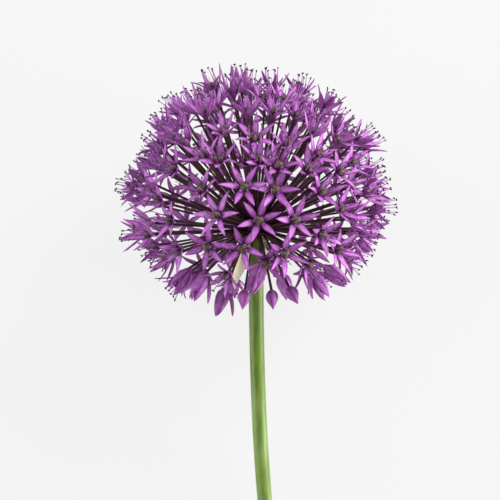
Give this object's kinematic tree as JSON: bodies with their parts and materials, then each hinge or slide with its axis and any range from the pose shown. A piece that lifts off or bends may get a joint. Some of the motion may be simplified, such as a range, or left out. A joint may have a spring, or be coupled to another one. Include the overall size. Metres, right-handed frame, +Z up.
{
  "type": "allium flower head",
  "caption": "Round head of violet star florets on fine pedicels, with papery spathe valves and a bare green stalk, cut and laid on a surface.",
  "frame": {"origin": "on the surface that the flower lies on, under the middle of its bounding box", "axes": "+Z up from that surface; +Y along the surface from the cut end of the stalk to the head, which is the flower's longest extent; +X to the right as seen from above with the head at the top"},
  "size_m": [0.104, 0.1771, 0.0939],
  "materials": {
    "floret_tissue": "satin",
    "stalk_tissue": "satin, faintly waxy",
    "spathe_skin": "matte, dry and papery"
  },
  "bodies": {
    "root": {"umbel": "floret_tissue", "scape": "stalk_tissue", "spathe_valve_left": "spathe_skin", "spathe_valve_right": "spathe_skin", "spathe_valve_rear": "spathe_skin"}
  },
  "joints": []
}
